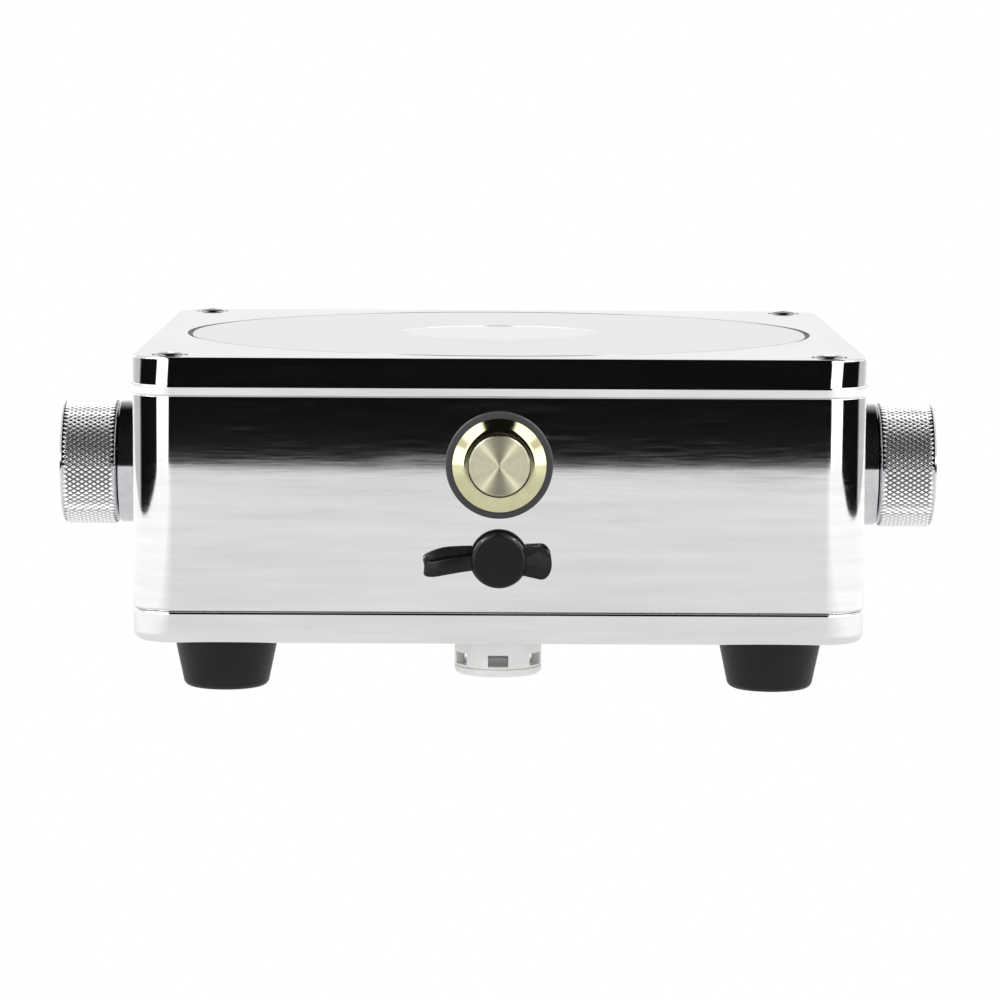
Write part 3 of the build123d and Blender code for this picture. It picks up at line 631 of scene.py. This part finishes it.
class FinishSettings(bpy.types.PropertyGroup):
    """Tints of the metals and plastics that show most."""

    walls: FloatVectorProperty(
        name="Walls",
        description="Tint of the polished walls and base",
        default=linear("#F0F0F1")[:3],
        subtype="COLOR",
    )
    lid: FloatVectorProperty(
        name="Lid",
        description="Tint of the polished lid",
        default=linear("#F4F4F5")[:3],
        subtype="COLOR",
    )
    bezel: FloatVectorProperty(
        name="Bezel",
        description="Tint of the push button's bezel",
        default=linear("#DCD9B2")[:3],
        subtype="COLOR",
    )
    breather: FloatVectorProperty(
        name="Breather",
        description="Colour of the nylon breather plug",
        default=linear("#F0F0EE")[:3],
        subtype="COLOR",
    )


class EnclosureSettings(bpy.types.PropertyGroup):
    """Shading of the polished enclosure."""

    crisp_angle: FloatProperty(
        name="Crisp angle",
        description="Edges sharper than this stay crisp",
        default=math.radians(28),
        subtype="ANGLE",
    )


class ScrewSettings(bpy.types.PropertyGroup):
    """Button-head hex-socket screw."""

    head_radius: FloatProperty(
        name="Head radius", description="Radius of the screw head", default=3.8 * MM, unit="LENGTH"
    )
    head_height: FloatProperty(
        name="Head height", description="Height of the screw head", default=2.2 * MM, unit="LENGTH"
    )
    socket: FloatProperty(
        name="Socket", description="Hex socket across flats", default=2.5 * MM, unit="LENGTH"
    )
    seed: IntProperty(name="Seed", description="Seed of each screw's turn", default=3)


class KnobSettings(bpy.types.PropertyGroup):
    """Knurled knob."""

    radius: FloatProperty(
        name="Radius", description="Radius over the knurl", default=15.88 * MM, unit="LENGTH"
    )
    depth: FloatProperty(
        name="Depth", description="Depth of the knurl", default=0.45 * MM, unit="LENGTH"
    )
    starts: IntProperty(name="Starts", description="Diamonds round one row", default=76)
    row_step: FloatProperty(
        name="Row step", description="Distance between rows", default=1.02 * MM, unit="LENGTH"
    )
    tip: FloatProperty(
        name="Tip share", description="Flat share of each tip", default=0.4, subtype="FACTOR"
    )


class StrapSettings(bpy.types.PropertyGroup):
    """Rubber strap of the dust cap."""

    width: FloatProperty(
        name="Width", description="Width of the strap", default=3.6 * MM, unit="LENGTH"
    )
    thickness: FloatProperty(
        name="Thickness", description="Thickness of the strap", default=1.1 * MM, unit="LENGTH"
    )
    droop: FloatProperty(
        name="Droop", description="How far the loop hangs down", default=1.6 * MM, unit="LENGTH"
    )


class StudioSettings(bpy.types.PropertyGroup):
    """Camera and studio."""

    lens: FloatProperty(
        name="Lens", description="Focal length on a 36 mm sensor", default=151.15, unit="CAMERA"
    )
    camera_place: FloatVectorProperty(
        name="Camera place",
        description="Where the camera stands",
        default=(-0.0034, -1.06584, 0.15689),
        subtype="TRANSLATION",
    )
    camera_turn: FloatVectorProperty(
        name="Camera turn",
        description="Yaw to the right, tilt down and roll",
        default=(0.00366, 0.11105, 0.00487),
        subtype="EULER",
    )
    table_reach: FloatProperty(
        name="Table reach",
        description="How far the white table runs in front of the panel",
        default=0.53,
        subtype="DISTANCE",
    )
    lamp_power: FloatProperty(
        name="Lamp power", description="Power of each of the two lamps", default=9, unit="POWER"
    )


def settings():
    return bpy.context.scene.hot_plate


# Operators


class HOTPLATE_OT_enclosure(bpy.types.Operator):
    """Lid, walls and base of the polished enclosure"""

    bl_idname = "hotplate.enclosure"
    bl_label = "Enclosure"

    def execute(self, context):
        angle = math.degrees(settings().enclosure.crisp_angle)
        for node_name, name, finish in (
            ("lid_cover", "polished_lid", "lid"),
            ("body_shell", "polished_walls", "walls"),
            ("base_cover", "polished_base", "walls"),
        ):
            smooth_piece(node_name, name, FINISH[finish], angle=angle)
        return {"FINISHED"}


class HOTPLATE_OT_plate(bpy.types.Operator):
    """Turned hot plate and the dark ring round it"""

    bl_idname = "hotplate.plate"
    bl_label = "Hot Plate"

    def execute(self, context):
        smooth_piece("hot_plate", "turned_hot_plate", FINISH["plate_metal"])
        smooth_piece("plate_seal", "ring_seal", FINISH["silicone"])
        return {"FINISHED"}


def screw_mesh(length, up):
    """One button-head screw, head up or down, with its seat at height zero, in millimetres."""
    s = settings().screws
    r, h, across = s.head_radius / MM, s.head_height / MM, s.socket / MM
    side = h * 0.42
    rings = [(1.95, -length), (1.95, 0), (r - 0.15, 0), (r, 0.15), (r, side)]
    for degrees in range(14, 85, 14):
        a = math.radians(degrees)
        inward = (r - 1.9) * (1 - math.cos(a)) * 1.05
        rings.append((r - inward, side + (h - side) * math.sin(a) / math.sin(math.radians(84))))
    rings += [(1.75, h), (("hex", across + 0.15), h), (("hex", across), h - 0.12)]
    rings += [(("hex", across), h - 1.3), (0.1, h - 1.7)]
    bm = ringed(rings, 48)
    if not up:
        over = Matrix.Rotation(math.pi, 3, "X")
        bmesh.ops.rotate(bm, verts=bm.verts, cent=(0, 0, 0), matrix=over)
    return bm


def four_screws(name, node_name, seat, up):
    """Four screws at the corners of a square, in place of a CAD node."""
    screws = settings().screws
    obj = piece(name, screw_mesh(SCREW_LENGTH_MM, up), FINISH["steel"], None)
    values = {
        "Spacing": 2 * (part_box(node_name)[1].x - screws.head_radius),
        "Centre": (0.0, AXIS_Y, seat),
        "Seed": screws.seed,
        "Finish": FINISH["steel"],
    }
    grow(obj, bpy.data.node_groups["corner_fasteners"], values)
    obj.data.set_sharp_from_angle(angle=math.radians(40))
    settle(obj, "housing", (node_name,))


class HOTPLATE_OT_screws(bpy.types.Operator):
    """Button-head screws of the lid and of the base"""

    bl_idname = "hotplate.screws"
    bl_label = "Corner Screws"

    def execute(self, context):
        fastener_tree()
        height = settings().screws.head_height
        four_screws("lid_screw_set", "lid_screws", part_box("lid_screws")[1].z - height, True)
        four_screws("base_screw_set", "base_screws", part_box("base_screws")[0].z + height, False)
        return {"FINISHED"}


def knob_core(side, near, far):
    """The turned blank under the knurl, with chamfered ends and a dished end face."""
    knob = settings().knobs
    root = (knob.radius - knob.depth) / MM
    length = (far - near) / MM
    rings = [
        (3.0, 0), (root - 1.0, 0), (root - 0.45, 0.05), (root, 0.5),
        (root, length - 0.5), (root - 0.45, length - 0.05), (root - 1.0, length),
        (root - 1.9, length), (root - 2.1, length - 0.12), (3.0, length - 0.18),
    ]
    bm = ringed(rings, 128)
    turn = Matrix.Rotation(side * math.pi / 2, 4, "Y")
    place = Matrix.Translation((side * near, AXIS_Y, DIAL_Z))
    bmesh.ops.transform(bm, matrix=place @ turn, verts=bm.verts)
    return bm


def build_knob(side, label):
    """One knurled knob that turns with its shaft."""
    k = settings().knobs
    low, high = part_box(label + "_knob")
    near, far = (low.x, high.x) if side > 0 else (-high.x, -low.x)
    obj = piece(label + "_knurled_knob", knob_core(side, near, far), FINISH["knob_metal"], None)
    obj.data.set_sharp_from_angle(angle=math.radians(25))
    rows = int((far - near - 0.5 * MM) / k.row_step) - 1
    margin = (far - near - (rows - 1) * k.row_step) / 2
    start = near + margin if side > 0 else -(far - margin)
    values = {
        "Radius": k.radius - k.depth - 0.01 * MM,
        "Depth": k.depth,
        "Starts": k.starts,
        "Rows": rows,
        "Row Step": k.row_step,
        "Tip Share": k.tip,
        "Start": (start, AXIS_Y, DIAL_Z),
        "Finish": FINISH["knurl"],
    }
    teeth = piece(label + "_knurl", bmesh.new(), None, None)
    grow(teeth, bpy.data.node_groups["diamond_knurl"], values)
    add_mesh(obj, teeth, FINISH["knurl"])
    settle(obj, label + "_dial", (label + "_knob",))


class HOTPLATE_OT_knobs(bpy.types.Operator):
    """Knurled knobs and their collars"""

    bl_idname = "hotplate.knobs"
    bl_label = "Knobs"

    def execute(self, context):
        knurl_tree()
        build_knob(-1, "left")
        build_knob(1, "right")
        smooth_piece("dial_collars", "turned_collars", FINISH["knob_metal"])
        return {"FINISHED"}


class HOTPLATE_OT_button(bpy.types.Operator):
    """Push button: bezel, brushed face and gasket"""

    bl_idname = "hotplate.button"
    bl_label = "Push Button"

    def execute(self, context):
        face = FINISH["actuator_metal"]
        smooth_piece("button_bezel", "conical_bezel", FINISH["bezel_metal"])
        smooth_piece("button_actuator", "push_face", face, "button")
        smooth_piece("button_gasket", "bezel_gasket", FINISH["gasket_rubber"])
        spring = smooth_piece("button_spring", "return_spring", FINISH["steel"])
        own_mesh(spring)
        return {"FINISHED"}


def smooth_path(points, steps):
    """Points along a curve through the given ones, with even speed between them."""
    path = []
    last = len(points) - 1
    for i in range(last):
        before, a = points[max(i - 1, 0)], points[i]
        b, after = points[i + 1], points[min(i + 2, last)]
        for step in range(steps):
            t = step / steps
            path.append(
                0.5 * (2 * a + (b - before) * t + (2 * before - 5 * a + 4 * b - after) * t**2
                       + (3 * a - before - 3 * b + after) * t**3)
            )
    return path + [points[last]]


def strap_section(width, thickness, corner):
    """A rounded rectangle as (across, up) pairs."""
    outline = []
    for cx, cy, first in ((1, 1, 0), (-1, 1, 90), (-1, -1, 180), (1, -1, 270)):
        for i in range(4):
            a = math.radians(first + 30 * i)
            outline.append(
                (cx * (thickness / 2 - corner) + corner * math.cos(a),
                 cy * (width / 2 - corner) + corner * math.sin(a))
            )
    return outline


def strap_mesh():
    """A flat strap that leaves the cap, loops round and comes back to the ring behind it."""
    s = settings().strap
    front, back = PANEL_Y / MM - 3.9, PANEL_Y / MM - 0.72
    z, droop = CAP_Z / MM, s.droop / MM
    points = [
        (-5.9, front, z - 0.5),
        (-9.0, front - 0.3, z - 0.5 - 0.25 * droop),
        (-12.6, front - 0.35, z - 0.5 - 0.65 * droop),
        (-15.6, front + 0.1, z - 0.5 - droop),
        (-17.0, front + 1.3, z - 0.5 - 0.85 * droop),
        (-16.3, back - 0.6, z + 0.1 - 0.4 * droop),
        (-13.0, back - 0.05, z + 0.75),
        (-9.4, back, z + 1.1),
        (-6.3, back, z + 1.2),
    ]
    path = smooth_path([Vector(p) * MM for p in points], 8)
    outline = strap_section(s.width, s.thickness, 0.28 * MM)
    bm = bmesh.new()
    loops = []
    for i, point in enumerate(path):
        ahead = path[min(i + 1, len(path) - 1)] - path[max(i - 1, 0)]
        side = ahead.cross(Vector((0, 0, 1))).normalized()
        up = side.cross(ahead).normalized()
        loops.append([bm.verts.new(point + side * x + up * y) for x, y in outline])
    count = len(outline)
    for low, high in zip(loops, loops[1:]):
        for i in range(count):
            j = (i + 1) % count
            bm.faces.new((low[i], low[j], high[j], high[i]))
    bm.faces.new(loops[0])
    bm.faces.new(loops[-1])
    bmesh.ops.recalc_face_normals(bm, faces=bm.faces)
    return bm


def round_tab(obj, start_x, radius):
    """Rounds the corners of the cap's pull tab, which lies beyond start_x."""
    bm = bmesh.new()
    bm.from_mesh(obj.data)
    corners = []
    for edge in bm.edges:
        a, b = (v.co for v in edge.verts)
        upright = abs((b - a).normalized().y) > 0.99
        if upright and min(a.x, b.x) > start_x and edge.calc_face_angle(0.0) > math.radians(8):
            corners.append(edge)
    bmesh.ops.bevel(bm, geom=corners, offset=radius, segments=4, profile=0.5, affect="EDGES")
    bm.to_mesh(obj.data)
    bm.free()
    obj.data.set_sharp_from_angle(angle=math.radians(28))


class HOTPLATE_OT_socket(bpy.types.Operator):
    """Power socket with its rubber dust cap, ring and strap"""

    bl_idname = "hotplate.socket"
    bl_label = "Capped Socket"

    def execute(self, context):
        rubber = FINISH["cap_rubber"]
        cap = smooth_piece("dust_cap", "rubber_dust_cap", rubber, "cap")
        round_tab(cap, TAB_END - 3 * MM, 0.7 * MM)
        smooth_piece("strap_ring", "rubber_strap_ring", rubber)
        smooth_piece("dc_socket", "socket_barrel", FINISH["steel"])
        strap = piece("rubber_cap_strap", strap_mesh(), rubber, None)
        strap.data.set_sharp_from_angle(angle=math.radians(50))
        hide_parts("cap_strap")
        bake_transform(strap)
        return {"FINISHED"}


class HOTPLATE_OT_underside(bpy.types.Operator):
    """Rubber feet and the slotted breather plug"""

    bl_idname = "hotplate.underside"
    bl_label = "Feet and Breather"

    def execute(self, context):
        smooth_piece("feet", "rubber_feet", FINISH["black_rubber"])
        nylon = FINISH["white_plastic"]
        smooth_piece("breather_plug", "slotted_breather", nylon)
        return {"FINISHED"}


class HOTPLATE_OT_inner_parts(bpy.types.Operator):
    """Finishes on every CAD node that shows as it is"""

    bl_idname = "hotplate.inner_parts"
    bl_label = "Inner Parts"

    def execute(self, context):
        slots = {row["node"]: row["material_slot"] for row in FRAME["record"]["subparts"]}
        for name, obj in FRAME["nodes"].items():
            if obj.hide_render:
                continue
            slot = slots[name]
            obj.data.materials.clear()
            obj.data.materials.append(FINISH.get(slot) or FINISH["walls"])
        return {"FINISHED"}


def glowing(name, colour, strength, side_strength=None):
    """A white emitter for the studio's surfaces, brighter towards its sides where that is given."""
    material = bpy.data.materials.new(name)
    material.use_nodes = True
    tree = material.node_tree
    tree.nodes.clear()
    glow = node(tree, "ShaderNodeEmission", {"Color": linear(colour), "Strength": strength})
    if side_strength:
        place = node(tree, "ShaderNodeTexCoord")
        x = node(tree, "ShaderNodeSeparateXYZ", [place.outputs["Object"]])
        aside = node(tree, "ShaderNodeMath", [x], operation="ABSOLUTE")
        level = node(tree, "ShaderNodeMapRange", [aside, 0.1, 0.2, strength, side_strength])
        tree.links.new(level.outputs[0], glow.inputs["Strength"])
    node(tree, "ShaderNodeOutputMaterial", {"Surface": glow})
    return material


def sheet(name, x0, x1, y0, y1, z, material):
    """A flat stage surface."""
    mesh = bpy.data.meshes.new(name)
    mesh.from_pydata([(x0, y0, z), (x1, y0, z), (x1, y1, z), (x0, y1, z)], [], [(0, 1, 2, 3)])
    obj = bpy.data.objects.new(name, mesh)
    bpy.context.scene.collection.objects.link(obj)
    mesh.materials.append(material)
    return obj


def build_world():
    """White to the camera; for reflections a dark room, white at its back and at its two sides."""
    world = bpy.data.worlds.new("studio")
    bpy.context.scene.world = world
    world.use_nodes = True
    tree = world.node_tree
    tree.nodes.clear()
    ray = node(tree, "ShaderNodeLightPath")
    place = node(tree, "ShaderNodeTexCoord")
    x, y, z = node(tree, "ShaderNodeSeparateXYZ", [place.outputs["Generated"]]).outputs
    aside = node(tree, "ShaderNodeMath", [x], operation="ABSOLUTE")
    # Each ramp is 0 at its first bound and 1 at its second
    ramps = {
        "beside": (aside, 0.3, 0.36),
        "above table": (z, -0.03, 0.02),
        "skirt inner edge": (aside, 0.24, 0.3),
        "skirt outer edge": (aside, 0.74, 0.7),
        "in front": (y, -0.1, -0.2),
        "back wall": (y, 0.2, 0.34),
        "back wall top": (z, 0.86, 0.2),
        "rear half": (y, 0.0, 0.1),
        "over the rim": (z, 0.06, 0.12),
        "flag bottom": (z, 0.17, 0.21),
        "flag top": (z, 0.36, 0.32),
        "flag inner edge": (aside, 0.5, 0.58),
    }
    ramp = {
        name: node(tree, "ShaderNodeMapRange", [value, low, high, 0.0, 1.0])
        for name, (value, low, high) in ramps.items()
    }
    # Each area is the product of its ramps
    areas = {
        "boxes": ("beside", "above table"),
        "skirts": ("skirt inner edge", "skirt outer edge", "in front"),
        "back": ("back wall", "back wall top"),
        "behind": ("rear half", "over the rim"),
        "flag": ("flag bottom", "flag top", "flag inner edge"),
    }
    area = {}
    for name, (first, *others) in areas.items():
        area[name] = ramp[first]
        for other in others:
            factors = [area[name], ramp[other]]
            area[name] = node(tree, "ShaderNodeMath", factors, operation="MULTIPLY")
    dimming = node(tree, "ShaderNodeMath", [area["behind"], area["flag"]], operation="MAXIMUM")
    power = node(tree, "ShaderNodeMapRange", [dimming, 0.0, 1.0, 2.3, 0.9])
    shape = node(tree, "ShaderNodeMath", [area["boxes"], area["skirts"]], operation="MAXIMUM")
    sides = node(tree, "ShaderNodeMath", [shape, power], operation="MULTIPLY")
    fading = node(tree, "ShaderNodeMapRange", [aside, 0.3, 0.8, 0.92, 0.6])
    back = node(tree, "ShaderNodeMath", [area["back"], fading], operation="MULTIPLY")
    lit = node(tree, "ShaderNodeMath", [sides, back], operation="MAXIMUM")
    seen = node(tree, "ShaderNodeMath", [lit, 0.005], operation="ADD")
    level = node(tree, "ShaderNodeMix", {0: ray.outputs["Is Camera Ray"], 2: seen, 3: 1.0})
    glow = node(tree, "ShaderNodeBackground", {"Color": linear("#FFFFFF"), "Strength": level})
    node(tree, "ShaderNodeOutputWorld", {"Surface": glow})


def area_light(name, place, aim, size, power):
    """A round lamp that points at a place."""
    data = bpy.data.lights.new(name, "AREA")
    data.shape = "DISK"
    data.size = size
    data.energy = power
    obj = bpy.data.objects.new(name, data)
    obj.location = place
    obj.rotation_mode = "QUATERNION"
    obj.rotation_quaternion = (Vector(aim) - Vector(place)).to_track_quat("-Z", "Y")
    bpy.context.scene.collection.objects.link(obj)
    return obj


def build_camera():
    """The camera at the given place, turned by yaw, tilt and roll."""
    s = settings().studio
    yaw, tilt, roll = s.camera_turn
    ahead, down = math.cos(tilt), -math.sin(tilt)
    forward = Vector((math.sin(yaw) * ahead, math.cos(yaw) * ahead, down))
    level = Vector((math.cos(yaw), -math.sin(yaw), 0))
    upright = level.cross(forward)
    right = math.cos(roll) * level + math.sin(roll) * upright
    up = math.cos(roll) * upright - math.sin(roll) * level
    data = bpy.data.cameras.new("camera")
    data.lens = s.lens
    data.sensor_width = 36
    data.clip_start = 0.05
    obj = bpy.data.objects.new("camera", data)
    rotation = Matrix((right, up, -forward)).transposed()
    obj.matrix_world = Matrix.Translation(s.camera_place) @ rotation.to_4x4()
    bpy.context.scene.collection.objects.link(obj)
    bpy.context.scene.camera = obj


class HOTPLATE_OT_stage(bpy.types.Operator):
    """Floor, reflecting table, lights, world and camera"""

    bl_idname = "hotplate.stage"
    bl_label = "Studio"

    def execute(self, context):
        floor = sheet("floor", -4, 4, -4, 4, -0.0002, glowing("pale_floor", "#FFFFFF", 1.0))
        floor.visible_glossy = False
        floor.visible_diffuse = False
        reach = PANEL_Y - settings().studio.table_reach
        table_white = glowing("white_table", "#FFFFFF", 0.84, 1.15)
        table = sheet("table", -0.46, 0.46, reach, 0.8, -0.0001, table_white)
        table.visible_camera = False
        power = settings().studio.lamp_power
        area_light("lamp_left", (-1.0, -1.05, 1.1), (0, 0, 0.05), 0.16, power)
        area_light("lamp_right", (0.95, -1.05, 1.15), (0, 0, 0.05), 0.16, power)
        build_world()
        build_camera()
        scene = context.scene
        scene.view_settings.view_transform = "Standard"
        scene.view_settings.look = "None"
        return {"FINISHED"}


class HotPlateSettings(bpy.types.PropertyGroup):
    """Every setting of the hot plate."""

    finishes: PointerProperty(
        name="Finishes", description="Tints of what shows most", type=FinishSettings
    )
    enclosure: PointerProperty(
        name="Enclosure", description="Shading of the enclosure", type=EnclosureSettings
    )
    screws: PointerProperty(name="Screws", description="Lid and base screws", type=ScrewSettings)
    knobs: PointerProperty(name="Knobs", description="Knurled knobs", type=KnobSettings)
    strap: PointerProperty(name="Strap", description="Strap of the dust cap", type=StrapSettings)
    studio: PointerProperty(name="Studio", description="Camera and studio", type=StudioSettings)


OPERATORS = (
    HOTPLATE_OT_stage,
    HOTPLATE_OT_enclosure,
    HOTPLATE_OT_plate,
    HOTPLATE_OT_screws,
    HOTPLATE_OT_knobs,
    HOTPLATE_OT_button,
    HOTPLATE_OT_socket,
    HOTPLATE_OT_underside,
    HOTPLATE_OT_inner_parts,
)


class HOTPLATE_PT_panel(bpy.types.Panel):
    """Lists the pieces of the hot plate"""

    bl_idname = "HOTPLATE_PT_panel"
    bl_label = "Hot Plate"
    bl_space_type = "VIEW_3D"
    bl_region_type = "UI"
    bl_category = "Hot Plate"

    def draw(self, context):
        for operator in OPERATORS:
            self.layout.operator(operator.bl_idname)
        chosen = context.scene.hot_plate
        for group_name in HotPlateSettings.__annotations__:
            box = self.layout.box()
            group = getattr(chosen, group_name)
            for name in group.__annotations__:
                box.prop(group, name)


CLASSES = (
    FinishSettings,
    EnclosureSettings,
    ScrewSettings,
    KnobSettings,
    StrapSettings,
    StudioSettings,
    HotPlateSettings,
    *OPERATORS,
    HOTPLATE_PT_panel,
)


def register():
    for cls in CLASSES:
        bpy.utils.register_class(cls)
    bpy.types.Scene.hot_plate = PointerProperty(type=HotPlateSettings)


def unregister():
    del bpy.types.Scene.hot_plate
    for cls in reversed(CLASSES):
        bpy.utils.unregister_class(cls)


def main():
    register()
    FINISH.update(make_finishes())
    for operator in OPERATORS:
        group, name = operator.bl_idname.split(".")
        getattr(getattr(bpy.ops, group), name)()
    bpy.context.view_layer.update()


if __name__ == "__main__":
    main()
